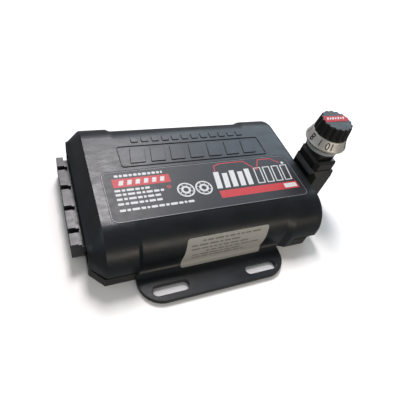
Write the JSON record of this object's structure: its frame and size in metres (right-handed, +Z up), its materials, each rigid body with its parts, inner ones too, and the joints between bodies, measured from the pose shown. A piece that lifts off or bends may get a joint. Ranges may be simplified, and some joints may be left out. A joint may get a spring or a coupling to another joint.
{
  "type": "trailer brake controller",
  "caption": "Trailer brake controller: flanged main unit with slotted mounting holes and a keyed wiring header, and a remote head with a push-and-turn gain knob.",
  "frame": {"origin": "centre of the four slotted flange holes, on the mounting plane under the unit", "axes": "+X along the main unit from the wiring header towards the remote head, +Y across the flanges, +Z up from the mounting plane; the head stands on the same plane with its knob up"},
  "size_m": [0.1375, 0.1036, 0.0472],
  "materials": {
    "housing_plastic": "fine-textured satin black",
    "cover_plastic": "fine-textured satin black",
    "screw_steel": "zinc plated",
    "label_film": "printed film, satin",
    "rating_film": "printed film, satin",
    "connector_plastic": "moulded black",
    "terminal_metal": "tin plated brass",
    "contact_metal": "gold plated",
    "circuit_board": "solder resist",
    "moulded_package": "moulded epoxy",
    "spreader_metal": "extruded",
    "capacitor_sleeve": "shrunk sleeve",
    "ferrite": "coated core",
    "winding_wire": "enamelled copper",
    "shunt_metal": "bare alloy strip",
    "head_plastic": "moulded black",
    "led_resin": "clear resin",
    "encoder_metal": "pressed can",
    "bush_brass": "turned",
    "guide_plastic": "translucent",
    "plunger_plastic": "moulded white",
    "spring_steel": "drawn wire",
    "shaft_metal": "turned",
    "dial_plastic": "translucent silver-white",
    "mark_ink": "printed",
    "knob_plastic": "moulded black",
    "badge_film": "printed red"
  },
  "bodies": {
    "main_unit": {"upper_housing": "housing_plastic", "base_cover": "cover_plastic", "base_screws": "screw_steel", "top_label": "label_film", "rating_label": "rating_film", "wiring_header": "connector_plastic", "header_terminals": "terminal_metal", "remote_jack": "connector_plastic", "remote_jack_contacts": "contact_metal", "main_board": "circuit_board", "board_screws": "screw_steel", "power_transistors": "moulded_package", "heat_spreader": "spreader_metal", "capacitors": "capacitor_sleeve", "choke_core": "ferrite", "choke_winding": "winding_wire", "current_shunt": "shunt_metal", "microcontroller": "moulded_package", "motion_sensor": "moulded_package"},
    "remote_head": {"head_lower_case": "head_plastic", "head_upper_case": "head_plastic", "head_jack": "connector_plastic", "head_jack_contacts": "contact_metal", "head_board": "circuit_board", "status_leds": "led_resin", "encoder_body": "encoder_metal", "encoder_bush": "bush_brass", "bush_nut": "bush_brass", "light_guide": "guide_plastic", "return_spring": "spring_steel"},
    "push_carrier": {"switch_plunger": "plunger_plastic"},
    "gain_knob": {"encoder_shaft": "shaft_metal", "dial": "dial_plastic", "dial_marks": "mark_ink", "knob_cap": "knob_plastic", "cap_badge": "badge_film"}
  },
  "joints": [
    {"name": "head_placing", "type": "slide", "parent": "main_unit", "child": "remote_head", "axis": [1, 0, 0], "range_m": [0, 0.12]},
    {"name": "knob_push", "type": "slide", "parent": "remote_head", "child": "push_carrier", "axis": [0, 0, -1], "range_m": [0, 0.0012], "stiffness_N_per_m": 1500, "springref_m": -0.0012, "deforming": ["return_spring"]},
    {"name": "knob_turn", "type": "hinge", "parent": "push_carrier", "child": "gain_knob", "pos_m": [0.0696, -0.0022, 0.0403], "axis": [0, 0, 1], "range_deg": [-60, 240]}
  ]
}
